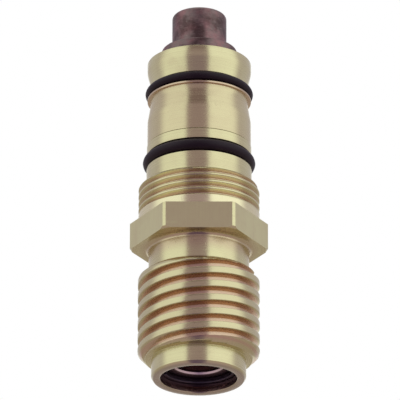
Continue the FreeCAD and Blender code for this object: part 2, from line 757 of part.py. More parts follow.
sub_parts = [body]
for item in doc.Objects:
    if item.TypeId == "PartDesign::Body" and item is not body_blank:
        sub_parts.append(item)
for item in sub_parts:
    shape = item.Shape
    if shape.isNull() or not shape.isValid() or len(shape.Solids) != 1:
        raise ValueError(f"{item.Label} is not one valid solid")

os.makedirs("parts", exist_ok=True)
for item in sub_parts:
    item.Shape.exportStep(f"parts/{item.Label}.step")
print(len(sub_parts), "sub-parts written")
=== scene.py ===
"""Look of a thermostatic cartridge: turned brass, black seals, a copper bulb, the studio and the camera.

Every mesh is built in millimetres about the Z axis, which is the lathe's axis, and is brought to metres
when it is finished. Heights are measured from the end face that takes the handle.
"""

import logging
import math
from dataclasses import dataclass, field
from enum import Enum
from typing import Callable, Sequence

import bmesh
import bpy
from mathutils import Matrix, Vector


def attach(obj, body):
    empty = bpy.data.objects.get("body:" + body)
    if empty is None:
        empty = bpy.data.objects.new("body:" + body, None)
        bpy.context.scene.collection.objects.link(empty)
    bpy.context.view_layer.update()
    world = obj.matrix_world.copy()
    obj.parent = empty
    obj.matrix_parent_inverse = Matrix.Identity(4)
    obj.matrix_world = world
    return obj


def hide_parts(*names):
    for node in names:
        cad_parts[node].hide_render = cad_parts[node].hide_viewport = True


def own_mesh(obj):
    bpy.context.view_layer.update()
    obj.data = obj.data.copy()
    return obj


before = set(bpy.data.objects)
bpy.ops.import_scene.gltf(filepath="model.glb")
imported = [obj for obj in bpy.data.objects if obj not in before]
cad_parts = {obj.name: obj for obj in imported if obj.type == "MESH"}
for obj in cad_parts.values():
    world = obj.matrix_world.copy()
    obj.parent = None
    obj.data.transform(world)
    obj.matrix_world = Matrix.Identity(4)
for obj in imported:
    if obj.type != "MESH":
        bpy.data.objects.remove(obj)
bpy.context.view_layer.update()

LOG = logging.getLogger("cartridge")

MM = 0.001
FULL_TURN = 2.0 * math.pi
Point = tuple[float, float]
Colour = tuple[float, float, float]
Socket = bpy.types.NodeSocket
Material = bpy.types.Material


class Group(Enum):
    """The groups of pieces that move together."""

    VALVE_BODY = "valve_body"
    PLUNGER = "setting_plunger"
    THRUST = "thrust_pin"
    SLIDE = "slide"


class Slot(Enum):
    """The material slots of the record."""

    BRASS = "brass"
    COPPER = "copper"
    STEEL = "steel"
    RUBBER = "rubber"
    WAX = "wax"
    PTFE = "ptfe"


class Lay(Enum):
    """Which way the fine marks of a metal surface run."""

    ROUND_THE_AXIS = "turned"
    ALONG_THE_AXIS = "drawn"


# Node sheets


class NodeSheet:
    """A small helper that adds and links the nodes of one tree."""

    def __init__(self, tree: bpy.types.NodeTree) -> None:
        """Starts from an empty tree.

        Args:
            tree: The node tree to fill.
        """
        self.tree = tree
        self.column = 0
        tree.nodes.clear()

    def add(self, kind: str, **settings: object) -> bpy.types.Node:
        """Adds one node and sets its properties.

        Args:
            kind: Blender's name of the node type.
            **settings: Properties of the node by name.

        Returns:
            The new node.
        """
        node = self.tree.nodes.new(kind)
        node.location = (self.column * 180.0, 0.0)
        self.column += 1
        for name, value in settings.items():
            setattr(node, name, value)
        return node

    def link(self, source: Socket, target: Socket) -> None:
        """Joins an output to an input."""
        self.tree.links.new(source, target)

    def feed(self, value: object, target: Socket) -> None:
        """Links a socket, or sets a number or an opaque colour."""
        if isinstance(value, Socket):
            self.link(value, target)
        elif isinstance(value, tuple):
            target.default_value = (*value, 1.0)
        else:
            target.default_value = value

    def math(self, operation: str, first: object, second: object = 0.0) -> Socket:
        """Adds a math node.

        Args:
            operation: The node's operation.
            first: A socket or a number.
            second: A socket or a number.

        Returns:
            The node's output.
        """
        node = self.add("ShaderNodeMath", operation=operation)
        self.feed(first, node.inputs[0])
        self.feed(second, node.inputs[1])
        return node.outputs[0]

    def ramp(self, value: object, low: float, high: float, start: float = 0.0,
             end: float = 1.0) -> Socket:
        """Eases a value from start to end while it goes from low to high.

        Args:
            value: The socket that is read.
            low: Value at which the result is start.
            high: Value at which the result is end.
            start: Result at the low end.
            end: Result at the high end.

        Returns:
            The eased value.
        """
        node = self.add("ShaderNodeMapRange", interpolation_type="SMOOTHSTEP")
        self.feed(value, node.inputs["Value"])
        node.inputs["From Min"].default_value = low
        node.inputs["From Max"].default_value = high
        node.inputs["To Min"].default_value = start
        node.inputs["To Max"].default_value = end
        return node.outputs["Result"]

    def noise(self, vector: Socket, scale: float, detail: float, roughness: float = 0.5) -> Socket:
        """Adds a noise texture and returns its grey value."""
        node = self.add("ShaderNodeTexNoise", noise_dimensions="3D")
        self.link(vector, node.inputs["Vector"])
        node.inputs["Scale"].default_value = scale
        node.inputs["Detail"].default_value = detail
        node.inputs["Roughness"].default_value = roughness
        return node.outputs["Fac"]

    def blend(self, factor: object, first: object, second: object, mode: str = "MIX") -> Socket:
        """Mixes two colours.

        Args:
            factor: How much of the second colour is used.
            first: A socket or a colour.
            second: A socket or a colour.
            mode: The way that the colours are mixed.

        Returns:
            The mixed colour.
        """
        node = self.add("ShaderNodeMix", data_type="RGBA", blend_type=mode)
        self.feed(factor, node.inputs[0])
        self.feed(first, node.inputs[6])
        self.feed(second, node.inputs[7])
        return node.outputs[2]

    def scaled(self, vector: Socket, factor: object) -> Socket:
        """Scales a vector by a number or a socket."""
        node = self.add("ShaderNodeVectorMath", operation="SCALE")
        self.link(vector, node.inputs[0])
        self.feed(factor, node.inputs["Scale"])
        return node.outputs[0]

    def mapped(self, vector: Socket, rotation: tuple[float, ...], scale: tuple[float, ...]) -> Socket:
        """Turns and stretches a vector."""
        node = self.add("ShaderNodeMapping")
        self.link(vector, node.inputs["Vector"])
        node.inputs["Rotation"].default_value = rotation
        node.inputs["Scale"].default_value = scale
        return node.outputs[0]

    def about_axis(self, position: Socket) -> tuple[Socket, Socket, Socket, Socket]:
        """Splits a position.

        Args:
            position: The position that is split.

        Returns:
            The values across, in depth and in height, and the distance from the axis.
        """
        parts = self.add("ShaderNodeSeparateXYZ")
        self.link(position, parts.inputs[0])
        across, depth, height = parts.outputs
        squares = self.math("ADD", self.math("POWER", across, 2.0), self.math("POWER", depth, 2.0))
        return across, depth, height, self.math("SQRT", squares)

    def give(self, **results: Socket) -> None:
        """Sends results to the outputs of the group by name."""
        end = self.add("NodeGroupOutput")
        for name, result in results.items():
            self.link(result, end.inputs[name])


# Shared surface effects


def effect_group(name: str, inputs: dict[str, float],
                 outputs: Sequence[str]) -> tuple[bpy.types.NodeTree, NodeSheet]:
    """Starts a node group that reads a position in millimetres.

    Args:
        name: Name of the group.
        inputs: Names and first values of its number inputs.
        outputs: Names of its number outputs.

    Returns:
        The group and a sheet to fill it with.
    """
    group = bpy.data.node_groups.new(name, "ShaderNodeTree")
    group.interface.new_socket("Position", in_out="INPUT", socket_type="NodeSocketVector")
    for label, value in inputs.items():
        socket = group.interface.new_socket(label, in_out="INPUT", socket_type="NodeSocketFloat")
        socket.default_value = value
    for label in outputs:
        group.interface.new_socket(label, in_out="OUTPUT", socket_type="NodeSocketFloat")
    return group, NodeSheet(group)


def make_tool_marks() -> bpy.types.NodeTree:
    """Fine marks of a lathe tool, or of the drawing die where Along is 1.

    Returns:
        A group that gives the marks' height and slow bands of dullness.
    """
    group, sheet = effect_group("tool_marks", {"Density": 6.0, "Along": 0.0}, ("Height", "Bands"))
    start = sheet.add("NodeGroupInput")
    across, depth, height, radius = sheet.about_axis(start.outputs["Position"])
    along = start.outputs["Along"]
    turned = sheet.math("SUBTRACT", 1.0, along)
    keep_height = sheet.math("ADD", turned, sheet.math("MULTIPLY", along, 0.03))
    place = sheet.add("ShaderNodeCombineXYZ")
    outward = sheet.math("ADD", sheet.math("MULTIPLY", radius, turned), sheet.math("MULTIPLY", across, along))
    sheet.link(outward, place.inputs[0])
    sheet.link(sheet.math("MULTIPLY", depth, along), place.inputs[1])
    sheet.link(sheet.math("MULTIPLY", height, keep_height), place.inputs[2])
    dense = sheet.scaled(place.outputs[0], start.outputs["Density"])
    sheet.give(Height=sheet.noise(dense, 1.0, 5.0, 0.75), Bands=sheet.noise(dense, 0.35, 2.0, 0.6))
    return group


def make_handling_marks() -> bpy.types.NodeTree:
    """Faint blotches, thin scratches and small nicks from handling.

    Returns:
        A group that gives blotches, scratches and nicks as masks.
    """
    group, sheet = effect_group("handling_marks", {"Blotch Size": 6.0, "Scratch Density": 0.8},
                                ("Blotches", "Scratches", "Nicks"))
    start = sheet.add("NodeGroupInput")
    position = start.outputs["Position"]
    coarse = sheet.scaled(position, sheet.math("DIVIDE", 1.0, start.outputs["Blotch Size"]))
    stretched = sheet.mapped(position, (0.5, 0.9, 0.3), (0.35, 6.0, 2.0))
    crossing = sheet.scaled(stretched, start.outputs["Scratch Density"])
    sheet.give(Blotches=sheet.ramp(sheet.noise(coarse, 1.0, 4.0, 0.6), 0.42, 0.68),
               Scratches=sheet.ramp(sheet.noise(crossing, 1.0, 1.0), 0.70, 0.76),
               Nicks=sheet.ramp(sheet.noise(position, 1.7, 0.0), 0.76, 0.80))
    return group


def make_zone_mask() -> bpy.types.NodeTree:
    """Where a surface lies between two heights and inside a radius.

    Returns:
        A group that gives 1 in the zone and 0 outside it.
    """
    group, sheet = effect_group("zone_mask", {"Bottom": 0.0, "Top": 1.0, "Reach": 1.0, "Softness": 0.2},
                                ("Mask",))
    start = sheet.add("NodeGroupInput")
    _, _, height, radius = sheet.about_axis(start.outputs["Position"])
    softness = start.outputs["Softness"]
    above = sheet.math("DIVIDE", sheet.math("SUBTRACT", height, start.outputs["Bottom"]), softness)
    below = sheet.math("DIVIDE", sheet.math("SUBTRACT", start.outputs["Top"], height), softness)
    inside = sheet.math("DIVIDE", sheet.math("SUBTRACT", start.outputs["Reach"], radius), softness)
    least = sheet.math("MINIMUM", sheet.math("MINIMUM", above, below), inside)
    sheet.give(Mask=sheet.ramp(least, 0.0, 1.0))
    return group


def make_fine_grain() -> bpy.types.NodeTree:
    """An even grain, for rubber, wax, scuffed copper and the floor.

    Returns:
        A group that gives the grain's grey value.
    """
    group, sheet = effect_group("fine_grain", {"Scale": 4.0, "Detail": 4.0, "Unevenness": 0.5}, ("Grain",))
    start = sheet.add("NodeGroupInput")
    grain = sheet.add("ShaderNodeTexNoise", noise_dimensions="3D")
    sheet.link(start.outputs["Position"], grain.inputs["Vector"])
    sheet.link(start.outputs["Scale"], grain.inputs["Scale"])
    sheet.link(start.outputs["Detail"], grain.inputs["Detail"])
    sheet.link(start.outputs["Unevenness"], grain.inputs["Roughness"])
    sheet.give(Grain=grain.outputs["Fac"])
    return group


TOOL_MARKS = make_tool_marks()
HANDLING_MARKS = make_handling_marks()
ZONE_MASK = make_zone_mask()
FINE_GRAIN = make_fine_grain()


# Finishes


def material_sheet(name: str) -> tuple[Material, NodeSheet, bpy.types.Node, Socket]:
    """Starts a material with its shader and its position in millimetres.

    Args:
        name: Name of the material.

    Returns:
        The material, its sheet, its shader node and the position.
    """
    material = bpy.data.materials.new(name)
    material.use_nodes = True
    sheet = NodeSheet(material.node_tree)
    millimetres = sheet.scaled(sheet.add("ShaderNodeTexCoord").outputs["Object"], 1.0 / MM)
    shader = sheet.add("ShaderNodeBsdfPrincipled")
    output = sheet.add("ShaderNodeOutputMaterial")
    sheet.link(shader.outputs["BSDF"], output.inputs["Surface"])
    return material, sheet, shader, millimetres


def use_effect(sheet: NodeSheet, group: bpy.types.NodeTree, position: Socket,
               **values: float) -> bpy.types.Node:
    """Places a shared effect in a material.

    Args:
        sheet: The material's sheet.
        group: The effect.
        position: Position in millimetres.
        **values: Values of the effect's inputs, with underscores for spaces.

    Returns:
        The group's node.
    """
    node = sheet.add("ShaderNodeGroup", node_tree=group)
    sheet.link(position, node.inputs["Position"])
    for name, value in values.items():
        node.inputs[name.replace("_", " ")].default_value = value
    return node


def roughen(sheet: NodeSheet, shader: bpy.types.Node, height: Socket, depth_mm: float) -> None:
    """Feeds a height map to the shader's normal.

    Args:
        sheet: The material's sheet.
        shader: The shader node.
        height: Height from 0 to 1.
        depth_mm: Depth of the relief in millimetres.
    """
    bump = sheet.add("ShaderNodeBump")
    bump.inputs["Strength"].default_value = 1.0
    bump.inputs["Distance"].default_value = depth_mm * MM
    sheet.link(height, bump.inputs["Height"])
    sheet.link(bump.outputs["Normal"], shader.inputs["Normal"])


@dataclass(frozen=True)
class Zone:
    """A stretch of a turned piece whose metal is given another colour, such as the painted reflection and
    shade in a thread groove.
    """

    bottom: float
    top: float
    reach: float
    colour: Colour
    amount: float = 1.0
    softness: float = 0.2

    def tint(self, sheet: NodeSheet, position: Socket, base: object) -> Socket:
        """Lays the zone's colour over another colour.

        Args:
            sheet: The material's sheet.
            position: Position in millimetres.
            base: The colour below.

        Returns:
            The tinted colour.
        """
        mask = use_effect(sheet, ZONE_MASK, position, Bottom=self.bottom, Top=self.top, Reach=self.reach,
                          Softness=self.softness)
        return sheet.blend(sheet.math("MULTIPLY", mask.outputs["Mask"], self.amount), base, self.colour)


LINE_BROWN = (0.35, 0.24, 0.18)


@dataclass(frozen=True)
class Metal:
    """A machined metal with tool marks, slow bands of dullness and light handling marks."""

    name: str
    colour: Colour
    dull_colour: Colour
    lay: Lay = Lay.ROUND_THE_AXIS
    roughness: float = 0.24
    anisotropy: float = 0.5
    mark_depth: float = 0.005
    mark_density: float = 3.4
    tarnish: float = 0.2
    line_darkness: float = 0.22
    zones: tuple[Zone, ...] = ()

    def build(self) -> Material:
        """Makes the material.

        Returns:
            The new material.
        """
        material, sheet, shader, position = material_sheet(self.name)
        along = 1.0 if self.lay is Lay.ALONG_THE_AXIS else 0.0
        marks = use_effect(sheet, TOOL_MARKS, position, Density=self.mark_density, Along=along)
        handling = use_effect(sheet, HANDLING_MARKS, position)
        dulling = sheet.math("MULTIPLY", handling.outputs["Blotches"], self.tarnish)
        banding = sheet.math("MULTIPLY", sheet.ramp(marks.outputs["Bands"], 0.35, 0.7), self.tarnish * 0.6)
        amount = sheet.math("MINIMUM", sheet.math("ADD", dulling, banding), 1.0)
        colour = sheet.blend(amount, self.colour, self.dull_colour)
        lines = sheet.ramp(marks.outputs["Height"], 0.5, 0.3, 0.0, self.line_darkness)
        colour = sheet.blend(lines, colour, LINE_BROWN)
        for zone in self.zones:
            colour = zone.tint(sheet, position, colour)
        sheet.link(colour, shader.inputs["Base Color"])
        base = sheet.math("ADD", self.roughness, sheet.math("MULTIPLY", amount, 0.12))
        swing = sheet.math("MULTIPLY", sheet.math("SUBTRACT", marks.outputs["Height"], 0.5), 0.25)
        rough = sheet.math("ADD", sheet.math("ADD", base, swing),
                           sheet.math("MULTIPLY", handling.outputs["Scratches"], 0.08))
        sheet.link(rough, shader.inputs["Roughness"])
        shader.inputs["Metallic"].default_value = 1.0
        shader.inputs["Anisotropic"].default_value = self.anisotropy
        shader.inputs["Anisotropic Rotation"].default_value = 0.25 if self.lay is Lay.ROUND_THE_AXIS else 0.0
        relief = sheet.math("SUBTRACT", marks.outputs["Height"],
                            sheet.math("MULTIPLY", handling.outputs["Nicks"], 0.5))
        roughen(sheet, shader, relief, self.mark_depth)
        return material


@dataclass(frozen=True)
class TarnishedCopper:
    """Old copper: grey brown with reddish and dark patches and a brushing of fine scuffs."""

    name: str = "tarnished_copper"
    film: Colour = (0.24, 0.185, 0.18)
    red: Colour = (0.33, 0.17, 0.18)
    dark: Colour = (0.065, 0.035, 0.035)
    scuffed: Colour = (0.46, 0.38, 0.34)
    roughness: float = 0.30
    scuff_stretch: tuple[float, float, float] = (1.2, 1.2, 6.5)

    def build(self) -> Material:
        """Makes the material.

        Returns:
            The new material.
        """
        material, sheet, shader, position = material_sheet(self.name)
        patches = use_effect(sheet, HANDLING_MARKS, position, Blotch_Size=3.0, Scratch_Density=1.3)
        shift = sheet.add("ShaderNodeVectorMath", operation="ADD")
        sheet.link(position, shift.inputs[0])
        shift.inputs[1].default_value = (31.0, 7.0, 13.0)
        stains = use_effect(sheet, HANDLING_MARKS, shift.outputs[0], Blotch_Size=4.2, Scratch_Density=0.9)
        brushing = sheet.mapped(position, (0.0, 0.12, 0.0), self.scuff_stretch)
        scuffing = use_effect(sheet, FINE_GRAIN, brushing, Scale=0.8, Detail=5.0, Unevenness=0.7)
        scuffs = scuffing.outputs["Grain"]
        reddish = sheet.blend(sheet.math("MULTIPLY", patches.outputs["Blotches"], 0.8), self.film, self.red)
        stained = sheet.blend(sheet.math("MULTIPLY", stains.outputs["Blotches"], 0.75), reddish, self.dark)
        streaked = sheet.blend(sheet.ramp(scuffs, 0.55, 0.75, 0.0, 0.6), stained, self.scuffed)
        darkened = sheet.blend(sheet.ramp(scuffs, 0.46, 0.28, 0.0, 0.6), streaked, self.dark)
        sheet.link(darkened, shader.inputs["Base Color"])
        swing = sheet.math("MULTIPLY", scuffs, 0.2)
        sheet.link(sheet.math("ADD", self.roughness, swing), shader.inputs["Roughness"])
        shader.inputs["Metallic"].default_value = 0.9
        relief = sheet.math("ADD", sheet.math("MULTIPLY", scuffs, 0.7),
                            sheet.math("MULTIPLY", patches.outputs["Blotches"], 0.3))
        roughen(sheet, shader, relief, 0.03)
        return material


@dataclass(frozen=True)
class SealRubber:
    """Black seal rubber with a skin of grease and a little dust."""

    name: str = "seal_rubber"
    colour: Colour = (0.011, 0.003, 0.010)
    dust: Colour = (0.022, 0.009, 0.019)
    roughness: float = 0.4

    def build(self) -> Material:
        """Makes the material.

        Returns:
            The new material.
        """
        material, sheet, shader, position = material_sheet(self.name)
        marks = use_effect(sheet, HANDLING_MARKS, position, Blotch_Size=2.0, Scratch_Density=0.5)
        grain = use_effect(sheet, FINE_GRAIN, position, Scale=9.0, Detail=3.0).outputs["Grain"]
        dusty = sheet.math("MULTIPLY", marks.outputs["Blotches"], 0.4)
        sheet.link(sheet.blend(dusty, self.colour, self.dust), shader.inputs["Base Color"])
        swing = sheet.math("MULTIPLY", grain, 0.16)
        sheet.link(sheet.math("ADD", self.roughness, swing), shader.inputs["Roughness"])
        shader.inputs["Specular IOR Level"].default_value = 0.3
        roughen(sheet, shader, grain, 0.004)
        return material


@dataclass(frozen=True)
class PlainFill:
    """A soft filling such as wax or white packing, speckled and slightly uneven."""

    name: str
    colour: Colour
    speckle: Colour
    roughness: float = 0.55

    def build(self) -> Material:
        """Makes the material.

        Returns:
            The new material.
        """
        material, sheet, shader, position = material_sheet(self.name)
        grain = use_effect(sheet, FINE_GRAIN, position, Unevenness=0.6).outputs["Grain"]
        mottled = sheet.blend(sheet.ramp(grain, 0.4, 0.7), self.colour, self.speckle)
        sheet.link(mottled, shader.inputs["Base Color"])
        swing = sheet.math("MULTIPLY", grain, 0.15)
        sheet.link(sheet.math("ADD", self.roughness, swing), shader.inputs["Roughness"])
        roughen(sheet, shader, grain, 0.01)
        return material


BRASS = (0.76, 0.735, 0.43)
DULL_BRASS = (0.60, 0.49, 0.32)
WORN_CREST = (0.62, 0.56, 0.36)
# Painted reflection of the reddish floor, with painted shade, in the grooves of the handle thread.
PAINTED_GROOVE_REFLECTION = (0.70, 0.475, 0.37)
# Painted reflection of the reddish floor, with painted shade, in the grooves of the valve thread.
PAINTED_FINE_GROOVE_REFLECTION = (0.67, 0.50, 0.40)
# Painted highlight on the plain band above the hexagon.
PAINTED_BAND_HIGHLIGHT = (0.94, 0.89, 0.58)
# Painted shade and reflection on the neck under the hexagon.
PAINTED_NECK_SHADE = (0.62, 0.49, 0.33)
END_FACE_FILM = (0.40, 0.32, 0.34)
# Painted shade inside the bores of the body and the slide, and on the spider there.
PAINTED_BORE_SHADE = (0.38, 0.26, 0.24)
# The slide's tube is made duller and pinker here.
DULL_TUBE_TONE = (0.70, 0.60, 0.38)
RIM_BROWN = (0.66, 0.47, 0.36)
# Painted highlight on the edge of the plunger's socket.
PAINTED_SOCKET_HIGHLIGHT = (1.0, 0.88, 0.92)
# Painted reflection and shade on the wall of the plunger's socket.
PAINTED_SOCKET_REFLECTION = (0.36, 0.22, 0.20)


@dataclass
class Finishes:
    """Every finish of the cartridge, built once."""

    turned: Material = field(init=False)
    drawn: Material = field(init=False)
    sleeve: Material = field(init=False)
    inner: Material = field(init=False)
    plunger: Material = field(init=False)
    steel: Material = field(init=False)
    spring: Material = field(init=False)
    copper: Material = field(init=False)
    rubber: Material = field(init=False)
    wax: Material = field(init=False)
    packing: Material = field(init=False)

    def __post_init__(self) -> None:
        """Builds the materials."""
        body = Metal("turned_brass", BRASS, DULL_BRASS, zones=(
            Zone(3.9, 21.9, 12.9, WORN_CREST, amount=0.35, softness=0.3),
            Zone(4.4, 21.75, 11.85, PAINTED_GROOVE_REFLECTION, amount=0.7, softness=0.5),
            Zone(34.3, 40.5, 11.9, PAINTED_FINE_GROOVE_REFLECTION, amount=0.65, softness=0.5),
            Zone(32.6, 34.5, 13.5, PAINTED_BAND_HIGHLIGHT, amount=0.8, softness=0.15),
            Zone(23.2, 29.9, 12.2, PAINTED_NECK_SHADE, amount=0.75, softness=2.6),
            Zone(-1.0, 0.6, 9.8, END_FACE_FILM, amount=0.85, softness=0.9),
            Zone(0.1, 49.3, 7.95, PAINTED_BORE_SHADE, softness=0.3),
        ))
        sleeve = Metal("sleeve_brass", BRASS, DULL_BRASS, tarnish=0.25, zones=(
            Zone(49.0, 59.2, 12.0, DULL_TUBE_TONE, amount=0.45, softness=0.6),
            Zone(49.2, 67.3, 9.4, PAINTED_BORE_SHADE, amount=0.8, softness=0.3),
            Zone(59.0, 59.7, 10.6, RIM_BROWN, amount=0.6, softness=0.1),
        ))
        # The plunger's near-black brass is painted shade for the deep bore.
        plunger = Metal("plunger_brass_painted_shade", (0.15, 0.10, 0.11), (0.09, 0.06, 0.065), roughness=0.3, tarnish=0.6,
                        zones=(
                            Zone(2.95, 3.45, 5.2, PAINTED_SOCKET_HIGHLIGHT, softness=0.1),
                            Zone(3.75, 8.4, 4.95, PAINTED_SOCKET_REFLECTION, amount=0.9, softness=0.12),
                        ))
        self.turned, self.sleeve, self.plunger = body.build(), sleeve.build(), plunger.build()
        self.drawn = Metal("drawn_brass", BRASS, DULL_BRASS, lay=Lay.ALONG_THE_AXIS, roughness=0.34,
                           anisotropy=0.2, mark_depth=0.0015, mark_density=7.0, line_darkness=0.04).build()
        # The inner parts' brass is a darker copy of the brass: painted shade.
        self.inner = Metal("inner_brass_painted_shade", (0.40, 0.27, 0.20), (0.20, 0.12, 0.09), roughness=0.34,
                           tarnish=0.6).build()
        self.steel = Metal("spring_steel", (0.13, 0.12, 0.17), (0.07, 0.06, 0.08), roughness=0.3,
                           anisotropy=0.2).build()
        self.spring = Metal("drawn_wire", (0.52, 0.52, 0.54), (0.36, 0.35, 0.35), roughness=0.28,
                            anisotropy=0.0, mark_depth=0.001).build()
        self.copper = TarnishedCopper().build()
        self.rubber = SealRubber().build()
        self.wax = PlainFill("copper_wax", (0.42, 0.24, 0.12), (0.62, 0.34, 0.18)).build()
        self.packing = PlainFill("white_packing", (0.78, 0.78, 0.75), (0.70, 0.69, 0.66)).build()


# Making meshes


class Workpiece:
    """A mesh in the making, in millimetres, with the lathe's axis on Z."""

    def __init__(self, name: str, facets: int = 192) -> None:
        """Starts an empty piece.

        Args:
            name: Name of the finished object.
            facets: Facets of a full turn.
        """
        self.name = name
        self.facets = facets
        self.mesh = bmesh.new()

    def chain(self, points: Sequence[Point], closed: bool) -> tuple[list, list]:
        """Draws points as edges in the plane through the axis.

        Args:
            points: Radius and height of each point.
            closed: Whether the last point joins the first.

        Returns:
            The new corners and edges.
        """
        corners = [self.mesh.verts.new((radius, 0.0, height)) for radius, height in points]
        pairs = list(zip(corners, corners[1:]))
        if closed:
            pairs.append((corners[-1], corners[0]))
        return corners, [self.mesh.edges.new(pair) for pair in pairs]

    def turn(self, outline: Sequence[Point], angle: float = 360.0) -> None:
        """Turns an outline round the axis; one that starts and ends on the axis is left open there.

        Args:
            outline: Radius and height of each corner.
            angle: Degrees of the turn; under a full turn it is centred on +X and its ends are closed.
        """
        on_axis = outline[0][0] == 0.0 and outline[-1][0] == 0.0
        corners, edges = self.chain(outline, closed=not on_axis)
        whole = angle >= 360.0
        if not whole:
            half_back = Matrix.Rotation(-math.radians(angle) / 2.0, 3, "Z")
            bmesh.ops.rotate(self.mesh, cent=(0, 0, 0), matrix=half_back, verts=corners)
            bmesh.ops.contextual_create(self.mesh, geom=edges)
            seed = [*corners, *edges, *{face for corner in corners for face in corner.link_faces}]
        else:
            seed = [*corners, *edges]
        steps = max(3, round(self.facets * angle / 360.0))
        bmesh.ops.spin(self.mesh, geom=seed, cent=(0, 0, 0), axis=(0, 0, 1), dvec=(0, 0, 0),
                       angle=math.radians(angle), steps=steps, use_merge=whole, use_duplicate=False)
        bmesh.ops.remove_doubles(self.mesh, verts=self.mesh.verts[:], dist=1e-5)

    def coil(self, section: Sequence[Point], lead: float, turns: float, start_height: float,
             start_angle: float, facets: int) -> None:
        """Winds a closed section round the axis as a right-handed helix with closed ends.

        Args:
            section: Radius and height of each corner, the height measured from the section's middle.
            lead: Rise of one turn.
            turns: How many turns are wound.
            start_height: Height of the section's middle at the start.
            start_angle: Angle of the start, in degrees from +X.
            facets: Facets of a full turn.
        """
        placed = [(radius, start_height + height) for radius, height in section]
        corners, edges = self.chain(placed, closed=True)
        bmesh.ops.rotate(self.mesh, cent=(0, 0, 0), matrix=Matrix.Rotation(math.radians(start_angle), 3, "Z"),
                         verts=corners)
        cap = bmesh.ops.contextual_create(self.mesh, geom=edges)["faces"]
        steps = round(facets * turns)
        bmesh.ops.spin(self.mesh, geom=[*corners, *edges, *cap], cent=(0, 0, 0), axis=(0, 0, 1),
                       dvec=(0, 0, lead * turns / steps), angle=FULL_TURN * turns, steps=steps,
                       use_merge=False, use_duplicate=False)

    def hold_within(self, limit: Callable[[float], float]) -> None:
        """Draws in every corner that stands out of a turned envelope.

        Args:
            limit: Gives the largest radius at a height.
        """
        for corner in self.mesh.verts:
            radius = math.hypot(corner.co.x, corner.co.y)
            allowed = limit(corner.co.z)
            if radius > allowed:
                corner.co.x *= allowed / radius
                corner.co.y *= allowed / radius

    def saw(self, point: Sequence[float], normal: Sequence[float]) -> None:
        """Cuts off what lies beyond a plane and closes the cut.

        Args:
            point: A point of the plane.
            normal: Direction of the side that is removed.
        """
        geometry = [*self.mesh.verts, *self.mesh.edges, *self.mesh.faces]
        bmesh.ops.bisect_plane(self.mesh, geom=geometry, dist=1e-5, plane_co=point, plane_no=normal,
                               clear_outer=True)
        open_edges = [edge for edge in self.mesh.edges if edge.is_boundary]
        bmesh.ops.holes_fill(self.mesh, edges=open_edges, sides=0)

    def soften(self, width: float = 0.06, segments: int = 2, least_angle: float = 28.0) -> None:
        """Rounds every sharp edge a little.

        Args:
            width: Width of the rounding.
            segments: Facets across the rounding.
            least_angle: Smallest angle between two faces that counts as sharp, in degrees.
        """
        sharp = []
        for edge in self.mesh.edges:
            if len(edge.link_faces) == 2 and edge.calc_face_angle(0.0) > math.radians(least_angle):
                sharp.append(edge)
        bmesh.ops.bevel(self.mesh, geom=sharp, offset=width, offset_type="OFFSET", segments=segments,
                        profile=0.5, affect="EDGES", clamp_overlap=True, material=-1)

    def absorb(self, other: "Workpiece") -> None:
        """Takes in the mesh of another piece, which is then used up."""
        passing = bpy.data.meshes.new("passing")
        other.mesh.to_mesh(passing)
        other.mesh.free()
        self.mesh.from_mesh(passing)
        bpy.data.meshes.remove(passing)

    def finish(self, materials: Sequence[Material], group: Group, slot: Slot, *nodes: str,
               choose: Callable[[bmesh.types.BMFace], int] | None = None) -> bpy.types.Object:
        """Makes the object, dresses it and lets it ride on its group.

        Args:
            materials: The object's materials.
            group: The group that it moves with.
            slot: The record's slot that its finish comes from; not used.
            *nodes: The CAD nodes that it stands for.
            choose: Gives the material's number for a face; all faces have the first one without it.

        Returns:
            The finished object.
        """
        bmesh.ops.recalc_face_normals(self.mesh, faces=self.mesh.faces[:])
        if choose:
            for face in self.mesh.faces:
                face.material_index = choose(face)
        bmesh.ops.scale(self.mesh, vec=(MM, MM, MM), verts=self.mesh.verts[:])
        data = bpy.data.meshes.new(self.name)
        self.mesh.to_mesh(data)
        self.mesh.free()
        for material in materials:
            data.materials.append(material)
        data.shade_smooth()
        data.set_sharp_from_angle(angle=math.radians(50.0))
        piece = bpy.data.objects.new(self.name, data)
        bpy.context.scene.collection.objects.link(piece)
        weighted = piece.modifiers.new("even_faces", "WEIGHTED_NORMAL")
        weighted.keep_sharp = True
        weighted.weight = 80
        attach(piece, group.value)
        if nodes:
            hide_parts(*nodes)
        LOG.info("%s: %d faces", self.name, len(data.polygons))
        return piece


def circle_points(radius: float, across: float, up: float, count: int) -> list[Point]:
    """Corners of a round section.

    Args:
        radius: Radius of the section.
        across: Distance of its middle from the axis.
        up: Height of its middle.
        count: Number of corners.

    Returns:
        The corners in order.
    """
    points = []
    for number in range(count):
        angle = FULL_TURN * number / count
        points.append((across + radius * math.cos(angle), up + radius * math.sin(angle)))
    return points


def arc_points(middle: Point, radius: float, first: float, last: float, count: int) -> list[Point]:
    """Points along an arc.

    Args:
        middle: Middle of the arc.
        radius: Radius of the arc.
        first: Angle of the first point, in degrees from the outward direction.
        last: Angle of the last point.
        count: Number of points.

    Returns:
        The points in order.
    """
    points = []
    for number in range(count):
        angle = math.radians(first + (last - first) * number / (count - 1))
        points.append((middle[0] + radius * math.cos(angle), middle[1] + radius * math.sin(angle)))
    return points


# The brass body


